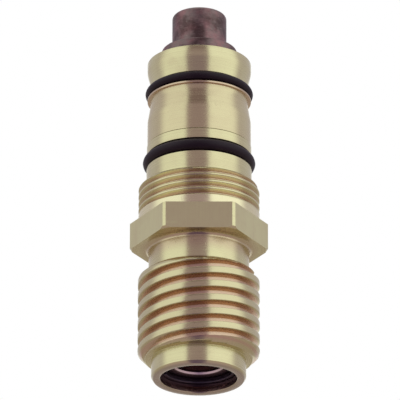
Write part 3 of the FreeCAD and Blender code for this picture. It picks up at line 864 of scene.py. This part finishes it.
@dataclass
class ValveBody:
    """The main body with both threads, the hexagon, the seal groove and the bore."""

    finishes: Finishes
    bore: float = 7.5
    mouth_chamfer: float = 0.2
    clip_floor: float = 7.85
    mouth_groove: tuple[float, float] = (1.84, 2.86)
    seat_groove: tuple[float, float] = (47.49, 48.51)
    spigot: float = 9.31
    spigot_chamfer: tuple[float, float] = (0.4, 0.6)
    coarse_bottom: float = 4.0
    coarse_top: float = 21.65
    coarse_crest: float = 12.0
    coarse_root: float = 10.6
    coarse_pitch: float = 2.87
    crest_width: float = 1.32
    floor_width: float = 0.8
    crest_at_front: float = 1.2
    lead_in: float = 1.5
    run_out: float = 0.85
    neck: float = 9.93
    neck_fillet: float = 0.9
    hex_bottom: float = 27.3
    hex_top: float = 32.75
    across_flats: float = 24.0
    corner_radius: float = 13.66
    corner_chamfer: float = 0.42
    valve_crest: float = 12.0
    valve_root: float = 11.12
    valve_pitch: float = 1.5
    plain_band_top: float = 34.45
    valve_top: float = 40.4
    valve_chamfer: float = 0.5
    groove_at_front: float = 35.05
    land: float = 10.45
    land_top: float = 44.4
    groove_floor: float = 8.79
    groove_top: float = 47.2
    nose: float = 10.4
    top: float = 49.2
    overlap: float = 0.01
    hidden_step: float = 0.6
    thread_start: float = 0.5
    valve_crest_width: float = 0.38
    valve_floor_width: float = 0.12

    def turned_core(self) -> Workpiece:
        """The turned body with plain floors where the threads stand.

        Returns:
            The softened core.
        """
        core = Workpiece("body_dressed")
        fillet_middle = (self.neck + self.neck_fillet, self.hex_bottom - self.neck_fillet)
        core.turn([
            (self.bore + self.mouth_chamfer, 0.0),
            (self.spigot - self.spigot_chamfer[0], 0.0),
            (self.spigot, self.spigot_chamfer[1]),
            (self.spigot, self.coarse_bottom),
            (self.coarse_crest - self.lead_in, self.coarse_bottom),
            (self.coarse_root, self.coarse_bottom + self.coarse_root - self.coarse_crest + self.lead_in),
            (self.coarse_root, self.coarse_top),
            (self.neck, self.coarse_top),
            *arc_points(fillet_middle, self.neck_fillet, 180.0, 90.0, 7),
            (self.valve_crest - self.hidden_step, self.hex_bottom + self.overlap),
            (self.valve_crest - self.hidden_step, self.hex_top - self.overlap),
            (self.valve_crest, self.hex_top - self.overlap),
            (self.valve_crest, self.plain_band_top),
            (self.valve_root, self.plain_band_top + self.thread_start),
            (self.valve_root, self.valve_top),
            (self.land, self.valve_top),
            (self.land, self.land_top),
            (self.groove_floor, self.land_top),
            (self.groove_floor, self.groove_top),
            (self.nose, self.groove_top),
            (self.nose, self.top),
            (self.bore, self.top),
            (self.bore, self.seat_groove[1]),
            (self.clip_floor, self.seat_groove[1]),
            (self.clip_floor, self.seat_groove[0]),
            (self.bore, self.seat_groove[0]),
            (self.bore, self.mouth_groove[1]),
            (self.clip_floor, self.mouth_groove[1]),
            (self.clip_floor, self.mouth_groove[0]),
            (self.bore, self.mouth_groove[0]),
            (self.bore, self.mouth_chamfer),
        ])
        core.soften(width=0.07)
        return core

    def hexagon(self) -> Workpiece:
        """The spanner hexagon: a turned disc with chamfered corners, sawn to its flats.

        Returns:
            The softened hexagon.
        """
        disc = Workpiece("hexagon", facets=360)
        disc.turn([
            (self.neck - 1.0, self.hex_bottom),
            (self.corner_radius - self.corner_chamfer, self.hex_bottom),
            (self.corner_radius, self.hex_bottom + self.corner_chamfer),
            (self.corner_radius, self.hex_top),
            (self.neck - 1.0, self.hex_top),
        ])
        for number in range(6):
            angle = math.radians(30.0 + 60.0 * number)
            normal = Vector((math.cos(angle), math.sin(angle), 0.0))
            disc.saw(normal * self.across_flats / 2.0, normal)
        disc.soften(width=0.05, least_angle=12.0)
        return disc

    def coarse_section(self) -> list[Point]:
        """Section of one ridge of the handle thread, its foot sunk into the core.

        Returns:
            The corners from the foot, up the lower flank, over the crest and back.
        """
        half_crest = self.crest_width / 2.0
        half_foot = (self.coarse_pitch - self.floor_width) / 2.0
        foot, rounding = self.coarse_root, 0.09
        lower = [(foot - 0.25, half_foot + 0.10), (foot + 0.03, half_foot + 0.03)]
        for step in range(1, 7):
            share = step / 7.0
            lower.append((foot + (self.coarse_crest - foot) * share,
                          half_foot + (half_crest - half_foot) * share))
        lower.append((self.coarse_crest - rounding, half_crest + 0.012))
        lower.append((self.coarse_crest - rounding * 0.3, half_crest - rounding * 0.35))
        lower.append((self.coarse_crest, half_crest - rounding))
        lower.append((self.coarse_crest, half_crest * 0.4))
        rising = [(radius, -height) for radius, height in lower]
        return rising + lower[::-1]

    def coarse_limit(self, height: float) -> float:
        """Radius of the turned blank along the handle thread, with its chamfers."""
        opening = self.coarse_crest - self.lead_in + (height - self.coarse_bottom)
        closing = self.coarse_crest - self.run_out + (self.coarse_top - height)
        return min(self.coarse_crest, opening, closing)

    def handle_thread(self) -> Workpiece:
        """Both starts of the coarse thread.

        Returns:
            The two ridges, cut square at both ends.
        """
        lead = self.coarse_pitch * 2.0
        ridges = Workpiece("handle_thread")
        first_height = self.crest_at_front - lead
        turns = math.ceil((self.coarse_top - first_height) / lead) + 1.0
        for start in range(2):
            ridges.coil(self.coarse_section(), lead, turns, first_height, -90.0 + 180.0 * start, facets=120)
        ridges.saw((0.0, 0.0, self.coarse_bottom + 0.01), (0.0, 0.0, -1.0))
        ridges.saw((0.0, 0.0, self.coarse_top), (0.0, 0.0, 1.0))
        ridges.hold_within(self.coarse_limit)
        return ridges

    def valve_section(self) -> list[Point]:
        """Section of the fine thread's ridge.

        Returns:
            The corners from the foot, up the lower flank, over the crest and back.
        """
        half_crest = self.valve_crest_width / 2.0
        half_foot = (self.valve_pitch - self.valve_floor_width) / 2.0
        lower = [(self.valve_root - 0.2, half_foot + 0.05)]
        for step in range(5):
            share = step / 5.0
            lower.append((self.valve_root + (self.valve_crest - self.valve_root) * share,
                          half_foot + (half_crest - half_foot) * share))
        lower.append((self.valve_crest - 0.05, half_crest + 0.02))
        lower.append((self.valve_crest, half_crest - 0.04))
        rising = [(radius, -height) for radius, height in lower]
        return rising + lower[::-1]

    def valve_limit(self, height: float) -> float:
        """Radius of the turned blank along the valve thread."""
        return min(self.valve_crest, self.valve_crest - self.valve_chamfer + (self.valve_top - height))

    def valve_thread(self) -> Workpiece:
        """The fine thread above the hexagon.

        Returns:
            The ridge, cut square at both ends.
        """
        ridge = Workpiece("valve_thread")
        first_height = self.groove_at_front - self.valve_pitch / 2.0
        turns = math.ceil((self.valve_top - first_height) / self.valve_pitch) + 1.0
        ridge.coil(self.valve_section(), self.valve_pitch, turns, first_height, -90.0, facets=144)
        ridge.saw((0.0, 0.0, self.plain_band_top - 0.3), (0.0, 0.0, -1.0))
        ridge.saw((0.0, 0.0, self.valve_top), (0.0, 0.0, 1.0))
        ridge.hold_within(self.valve_limit)
        return ridge

    def choose_finish(self, face: bmesh.types.BMFace) -> int:
        """The drawn finish on the hexagon's flats, the turned one elsewhere."""
        middle = face.calc_center_median()
        level = abs(face.normal.z) < 0.1 and self.hex_bottom < middle.z < self.hex_top
        reach = abs(middle.x * face.normal.x + middle.y * face.normal.y)
        return 1 if level and abs(reach - self.across_flats / 2.0) < 0.01 else 0

    def build(self) -> None:
        """Makes the body."""
        core = self.turned_core()
        core.absorb(self.hexagon())
        core.absorb(self.handle_thread())
        core.absorb(self.valve_thread())
        core.finish([self.finishes.turned, self.finishes.drawn], Group.VALVE_BODY, Slot.BRASS, "body",
                    choose=self.choose_finish)


@dataclass
class Seal:
    """An O-ring with the faint line of its mould."""

    name: str
    node: str
    group: Group
    section: float
    floor: float
    height: float
    mould_line: float = 0.02

    def build(self, finishes: Finishes) -> None:
        """Makes the ring.

        Args:
            finishes: The finishes to take the rubber from.
        """
        ring = Workpiece(self.name, facets=160)
        half = self.section / 2.0
        section = []
        for radius, height in circle_points(half - self.mould_line, self.floor + half, self.height, 32):
            on_line = abs(height - self.height) < half * 0.05
            outward = 1.0 if radius > self.floor + half else -1.0
            section.append((radius + (self.mould_line * outward if on_line else 0.0), height))
        ring.turn(section)
        ring.finish([finishes.rubber], self.group, Slot.RUBBER, self.node)


@dataclass
class SnapRing:
    """A flat spring ring with a gap at the back."""

    name: str
    node: str
    group: Group
    inner: float
    outer: float
    bottom: float
    thickness: float
    opening: float = 36.0

    def build(self, finishes: Finishes) -> None:
        """Makes the ring.

        Args:
            finishes: The finishes to take the steel from.
        """
        ring = Workpiece(self.name, facets=160)
        top = self.bottom + self.thickness
        section = [(self.inner, self.bottom), (self.outer, self.bottom), (self.outer, top), (self.inner, top)]
        ring.turn(section, angle=360.0 - self.opening)
        ring.soften(width=0.08)
        ring.finish([finishes.steel], self.group, Slot.STEEL, self.node)


@dataclass
class Spring:
    """A compression spring of round wire."""

    name: str
    node: str
    group: Group
    coil_radius: float
    wire: float
    bottom: float
    top: float
    joint: str
    travel: float
    fixed_end: float
    turns: float = 5.0

    def build(self, finishes: Finishes) -> None:
        """Makes the coil.

        Args:
            finishes: The finishes to take the wire from.
        """
        coil = Workpiece(self.name)
        lead = (self.top - self.bottom - self.wire) / self.turns
        section = circle_points(self.wire / 2.0, self.coil_radius, 0.0, 16)
        coil.coil(section, lead, self.turns, self.bottom + self.wire / 2.0, 0.0, facets=72)
        piece = coil.finish([finishes.spring], self.group, Slot.STEEL, self.node)
        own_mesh(piece)


@dataclass
class SettingPlunger:
    """The plunger with its socket for the handle's pusher."""

    finishes: Finishes
    radius: float = 7.45
    bottom: float = 2.9
    top: float = 26.9
    socket: float = 4.85
    socket_chamfer: float = 0.45
    socket_top: float = 7.9
    cavity: float = 5.85
    cavity_bottom: float = 9.5
    clip_floor: float = 6.25
    clip_groove: tuple[float, float] = (24.74, 25.76)
    seal_floor: float = 5.95
    seal_groove: tuple[float, float] = (5.3, 7.6)

    def build(self) -> None:
        """Makes the plunger."""
        plunger = Workpiece("plunger_dressed")
        plunger.turn([
            (0.0, self.socket_top + 0.35),
            (self.socket, self.socket_top),
            (self.socket, self.bottom + self.socket_chamfer),
            (self.socket + self.socket_chamfer, self.bottom),
            (self.radius, self.bottom),
            (self.radius, self.seal_groove[0]),
            (self.seal_floor, self.seal_groove[0]),
            (self.seal_floor, self.seal_groove[1]),
            (self.radius, self.seal_groove[1]),
            (self.radius, self.top),
            (self.cavity, self.top),
            (self.cavity, self.clip_groove[1]),
            (self.clip_floor, self.clip_groove[1]),
            (self.clip_floor, self.clip_groove[0]),
            (self.cavity, self.clip_groove[0]),
            (self.cavity, self.cavity_bottom),
            (0.0, self.cavity_bottom),
        ])
        plunger.soften(width=0.05)
        plunger.finish([self.finishes.plunger], Group.PLUNGER, Slot.BRASS, "plunger")


@dataclass
class SlideSleeve:
    """The slide: tube, taper, rim, seal groove, flare and crown, with its spider."""

    finishes: Finishes
    bottom: float = 49.3
    tube: float = 10.3
    taper_bottom: float = 54.65
    taper_top: float = 57.9
    waist: float = 9.75
    rim_bottom: float = 59.15
    rim_top: float = 59.57
    rim: float = 10.34
    groove_floor: float = 8.97
    groove_top: float = 61.95
    flare: float = 9.5
    flare_top: float = 65.3
    blend: float = 4.0
    crown: float = 10.35
    top: float = 67.2
    bore: float = 7.7
    mouth: float = 9.3
    mouth_depth: float = 1.2
    chamber: float = 9.1
    chamber_bottom: float = 63.8
    chamber_cone: float = 1.6
    spider_bottom: float = 58.5
    spider_top: float = 65.0
    hub: float = 4.7
    hub_bore: float = 3.29
    rib_reach: float = 8.4
    rib_width: float = 1.6

    def flare_curve(self) -> list[Point]:
        """The blend between the flare and the crown.

        Returns:
            Points from the flare's thin end to the crown's cylinder.
        """
        lean = math.atan2(self.crown - self.flare, self.flare_top - self.groove_top)
        reach = self.blend * math.tan(lean / 2.0)
        start = (self.crown - reach * math.sin(lean), self.flare_top - reach * math.cos(lean))
        middle = (self.crown - self.blend, self.flare_top + reach)
        lean_degrees = math.degrees(lean)
        curve = arc_points(middle, self.blend, -lean_degrees, 0.0, 7)
        return [(self.flare, self.groove_top), start, *curve[1:]]

    def build(self) -> None:
        """Makes the sleeve and its spider."""
        sleeve = Workpiece("slide_dressed")
        sleeve.turn([
            (self.mouth, self.bottom),
            (self.tube, self.bottom),
            (self.tube, self.taper_bottom - 0.5),
            (self.tube - 0.02, self.taper_bottom),
            (self.tube - 0.10, self.taper_bottom + 0.5),
            (self.waist, self.taper_top),
            (self.waist, self.rim_bottom),
            (self.rim, self.rim_bottom),
            (self.rim, self.rim_top),
            (self.groove_floor, self.rim_top),
            (self.groove_floor, self.groove_top),
            *self.flare_curve(),
            (self.crown, self.top),
            (self.chamber, self.top),
            (self.chamber, self.chamber_bottom),
            (self.bore, self.chamber_bottom - self.chamber_cone),
            (self.bore, self.bottom + self.mouth_depth),
        ])
        sleeve.soften(width=0.06)
        spider = Workpiece("spider")
        height = self.spider_top - self.spider_bottom
        middle = (self.spider_top + self.spider_bottom) / 2.0
        for number in range(2):
            bar = bmesh.ops.create_cube(spider.mesh, size=1.0)["verts"]
            bmesh.ops.scale(spider.mesh, vec=(self.rib_reach * 2.0, self.rib_width, height), verts=bar)
            bmesh.ops.translate(spider.mesh, vec=(0.0, 0.0, middle), verts=bar)
            quarter = Matrix.Rotation(math.pi / 2.0 * number, 3, "Z")
            bmesh.ops.rotate(spider.mesh, cent=(0, 0, 0), matrix=quarter, verts=bar)
        spider.soften(width=0.15)
        hub = Workpiece("hub", facets=96)
        hub.turn([(self.hub_bore, self.spider_bottom), (self.hub, self.spider_bottom),
                  (self.hub, self.spider_top), (self.hub_bore, self.spider_top)])
        hub.soften(width=0.1)
        sleeve.absorb(spider)
        sleeve.absorb(hub)
        sleeve.finish([self.finishes.sleeve], Group.SLIDE, Slot.BRASS, "slide_sleeve")


@dataclass
class WaxElement:
    """The copper capsule that shows above the slide."""

    finishes: Finishes
    bottom: float = 65.0
    flange: float = 7.55
    flange_top: float = 70.25
    bulb: float = 5.44
    top: float = 78.0
    bulb_edge: float = 0.8
    bulb_foot: float = 0.25
    wall: float = 0.6
    lip: float = 6.3
    lip_top: float = 65.65
    flange_edge: float = 0.35

    def build(self) -> None:
        """Makes the capsule."""
        capsule = Workpiece("capsule_dressed", facets=160)
        inner_flange, inner_bulb = self.flange - self.wall, self.bulb - self.wall
        shoulder_top = self.flange_top - self.wall
        edge, foot, bend = self.flange_edge, self.bulb_foot, self.bulb_edge
        capsule.turn([
            (0.0, self.top - self.wall),
            (inner_bulb, self.top - self.wall),
            (inner_bulb, shoulder_top),
            (inner_flange, shoulder_top),
            (inner_flange, self.lip_top),
            (self.lip, self.lip_top),
            (self.lip, self.bottom),
            *arc_points((self.flange - edge, self.bottom + edge), edge, -90.0, 0.0, 6),
            *arc_points((self.flange - edge, self.flange_top - edge), edge, 0.0, 90.0, 6),
            *arc_points((self.bulb + foot, self.flange_top + foot), foot, 270.0, 180.0, 5),
            *arc_points((self.bulb - bend, self.top - bend), bend, 0.0, 90.0, 10),
            (0.0, self.top),
        ])
        capsule.finish([self.finishes.copper], Group.SLIDE, Slot.COPPER, "element_capsule")


# What stays as the frame made it


# The inner finish is the darker brass copy, painted shade.
CARRIED_OVER = {
    "spring_seat_ring": "inner",
    "thrust_cup": "inner",
    "element_guide": "inner",
    "spring_plate": "inner",
    "element_nut": "inner",
    "stop_washer": "steel",
    "element_pin": "steel",
    "stem_clip": "steel",
    "diaphragm": "rubber",
    "rubber_plug": "rubber",
    "wax_charge": "wax",
    "backing_disc": "packing",
}


def dress_carried_nodes(finishes: Finishes) -> None:
    """Gives each node that stays its finish.

    Args:
        finishes: The finishes to choose from.
    """
    for node, finish in CARRIED_OVER.items():
        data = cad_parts[node].data
        data.materials.clear()
        data.materials.append(getattr(finishes, finish))
        LOG.info("%s: %s", node, finish)


# Studio and camera


@dataclass
class Studio:
    """White surroundings with two big soft lights, seen only in reflections, and a pale floor.

    Angles are in degrees: azimuths from the camera's side, heights from the horizon.
    """

    gap_left: float = 28.5
    gap_right: float = 20.5
    gap_edge: float = 4.0
    light_end: float = 93.0
    light_low: float = -11.0
    light_high: float = 52.0
    left_power: float = 0.90
    right_power: float = 1.0
    back_light: float = 0.85
    back_light_from: float = 162.0
    front_colour: Colour = (0.36, 0.272, 0.33)
    back_colour: Colour = (0.54, 0.50, 0.56)
    ceiling_colour: Colour = (1.05, 1.04, 1.02)
    shade_colour: Colour = (0.15, 0.09, 0.11)
    ground_front_colour: Colour = (0.44, 0.335, 0.36)
    ground_back_colour: Colour = (0.40, 0.335, 0.31)
    ground_gap_colour: Colour = (0.135, 0.085, 0.165)
    floor_size: float = 3.0

    def surroundings(self) -> None:
        """Makes the world's shader: white to the camera, lights and dark gaps to everything else."""
        world = bpy.data.worlds.new("studio")
        world.use_nodes = True
        bpy.context.scene.world = world
        sheet = NodeSheet(world.node_tree)
        direction = sheet.add("ShaderNodeTexCoord").outputs["Generated"]
        parts = sheet.add("ShaderNodeSeparateXYZ")
        sheet.link(direction, parts.inputs[0])
        across, away, up = parts.outputs
        towards = sheet.math("MULTIPLY", away, -1.0)
        turned_to = sheet.math("DEGREES", sheet.math("ARCTAN2", across, towards))
        azimuth = sheet.math("ABSOLUTE", turned_to)
        elevation = sheet.math("DEGREES", sheet.math("ARCSINE", up))
        half_edge = self.gap_edge / 2.0
        right_of_gap = sheet.ramp(turned_to, self.gap_right - half_edge, self.gap_right + half_edge)
        left_of_gap = sheet.ramp(turned_to, -self.gap_left - half_edge, -self.gap_left + half_edge, 1.0,
                                 0.0)
        past_gap = sheet.math("MAXIMUM", right_of_gap, left_of_gap)
        before_end = sheet.ramp(azimuth, self.light_end - 12.0, self.light_end + 12.0, 1.0, 0.0)
        above = sheet.ramp(elevation, self.light_low - 5.0, self.light_low + 5.0)
        below = sheet.ramp(elevation, self.light_high - 8.0, self.light_high + 8.0, 1.0, 0.0)
        behind = sheet.ramp(azimuth, self.back_light_from - 5.0, self.back_light_from + 5.0, 0.0,
                            self.back_light)
        round_about = sheet.math("MAXIMUM", sheet.math("MULTIPLY", past_gap, before_end), behind)
        light = sheet.math("MULTIPLY", round_about, sheet.math("MULTIPLY", above, below))
        backdrop = sheet.blend(sheet.ramp(azimuth, 60.0, 120.0), self.front_colour, self.back_colour)
        front_ground = sheet.blend(past_gap, self.ground_gap_colour, self.ground_front_colour)
        ground = sheet.blend(sheet.ramp(azimuth, 80.0, 110.0), front_ground, self.ground_back_colour)
        shade = sheet.math("MULTIPLY", sheet.ramp(elevation, 30.0, 40.0), sheet.ramp(azimuth, 70.0, 40.0))
        shaded = sheet.blend(shade, backdrop, self.shade_colour)
        sky = sheet.blend(sheet.ramp(elevation, 50.0, 75.0), shaded, self.ceiling_colour)
        rest = sheet.blend(sheet.ramp(elevation, -12.0, -2.0), ground, sky)
        left, right = self.left_power, self.right_power
        box_light = sheet.blend(sheet.ramp(turned_to, -10.0, 10.0), (left, left, left * 0.98),
                                (right, right, right * 0.99))
        lit = sheet.blend(light, rest, box_light)
        seen = sheet.add("ShaderNodeLightPath").outputs["Is Camera Ray"]
        colour = sheet.blend(seen, lit, (1.0, 1.0, 1.0))
        background = sheet.add("ShaderNodeBackground")
        sheet.link(colour, background.inputs["Color"])
        output = sheet.add("ShaderNodeOutputWorld")
        sheet.link(background.outputs[0], output.inputs["Surface"])

    def floor(self) -> None:
        """Makes the floor, which shows only from above."""
        mesh = bmesh.new()
        bmesh.ops.create_grid(mesh, x_segments=1, y_segments=1, size=self.floor_size / 2.0)
        bmesh.ops.translate(mesh, vec=(0.0, 0.0, -0.02 * MM), verts=mesh.verts[:])
        data = bpy.data.meshes.new("floor")
        mesh.to_mesh(data)
        mesh.free()
        floor = bpy.data.objects.new("floor", data)
        bpy.context.scene.collection.objects.link(floor)
        material = bpy.data.materials.new("pale_floor")
        material.use_nodes = True
        sheet = NodeSheet(material.node_tree)
        pale = sheet.add("ShaderNodeBsdfDiffuse")
        place = sheet.add("ShaderNodeTexCoord").outputs["Object"]
        grain = use_effect(sheet, FINE_GRAIN, place, Scale=40.0, Detail=3.0).outputs["Grain"]
        sheet.link(sheet.blend(grain, (0.84, 0.84, 0.83), (0.88, 0.88, 0.87)), pale.inputs["Color"])
        clear = sheet.add("ShaderNodeBsdfTransparent")
        camera = sheet.add("ShaderNodeLightPath").outputs["Is Camera Ray"]
        front = sheet.math("SUBTRACT", 1.0, sheet.add("ShaderNodeNewGeometry").outputs["Backfacing"])
        mix = sheet.add("ShaderNodeMixShader")
        sheet.link(sheet.math("MULTIPLY", camera, front), mix.inputs[0])
        sheet.link(clear.outputs[0], mix.inputs[1])
        sheet.link(pale.outputs[0], mix.inputs[2])
        output = sheet.add("ShaderNodeOutputMaterial")
        sheet.link(mix.outputs[0], output.inputs["Surface"])
        data.materials.append(material)

    def build(self) -> None:
        """Makes the surroundings and the floor."""
        self.surroundings()
        self.floor()
        bpy.context.scene.view_settings.view_transform = "Standard"


@dataclass
class PhotoCamera:
    """The photograph's camera, which looks up at the cartridge from a metre away."""

    look_up: float = 22.776
    distance: float = 1027.3
    aim_across: float = 0.195
    aim_height: float = 38.09
    roll: float = 0.121
    focal_pixels: float = 5179.35
    frame_pixels: float = 400.0

    def build(self) -> None:
        """Makes the camera and puts it in use."""
        data = bpy.data.cameras.new("photo_camera")
        data.sensor_width = 36.0
        data.lens = self.focal_pixels / self.frame_pixels * data.sensor_width
        data.clip_start = 0.01
        data.clip_end = 10.0
        camera = bpy.data.objects.new("photo_camera", data)
        bpy.context.scene.collection.objects.link(camera)
        tilt = math.radians(self.look_up)
        forward = Vector((0.0, math.cos(tilt), math.sin(tilt)))
        aim = Vector((self.aim_across, 0.0, self.aim_height))
        place = (aim - forward * self.distance) * MM
        lean = Matrix.Rotation(math.radians(90.0) + tilt, 4, "X")
        roll = Matrix.Rotation(math.radians(self.roll), 4, "Z")
        camera.matrix_world = Matrix.Translation(place) @ lean @ roll
        bpy.context.scene.camera = camera


def main() -> None:
    """Builds every piece, the studio and the camera."""
    logging.basicConfig(level=logging.INFO, format="%(name)s: %(message)s")
    finishes = Finishes()
    ValveBody(finishes).build()
    Seal("body_seal", "body_o_ring", Group.VALVE_BODY, section=2.4, floor=8.79, height=45.8).build(finishes)
    SnapRing("mouth_snap_ring", "mouth_clip", Group.VALVE_BODY, 6.7, 7.81, 1.9, 0.9).build(finishes)
    SnapRing("seat_snap_ring", "seat_clip", Group.VALVE_BODY, 6.2, 7.81, 47.55, 0.9).build(finishes)
    Spring("return_coil", "return_spring", Group.VALVE_BODY, 5.6, 1.2, 35.46, 46.35,
           joint="slide_travel", travel=1.6, fixed_end=46.35).build(finishes)
    SettingPlunger(finishes).build()
    Seal("plunger_seal", "plunger_o_ring", Group.PLUNGER, section=1.5, floor=5.95,
         height=6.45).build(finishes)
    SnapRing("plunger_snap_ring", "plunger_clip", Group.PLUNGER, 4.9, 6.21, 24.8, 0.9).build(finishes)
    Spring("overload_coil", "overload_spring", Group.PLUNGER, 4.95, 1.4, 9.5, 21.9,
           joint="overload_travel", travel=3.0, fixed_end=9.5).build(finishes)
    SlideSleeve(finishes).build()
    Seal("slide_seal", "slide_o_ring", Group.SLIDE, section=1.78, floor=8.97, height=60.76).build(finishes)
    WaxElement(finishes).build()
    dress_carried_nodes(finishes)
    Studio().build()
    PhotoCamera().build()


if __name__ == "__main__":
    main()
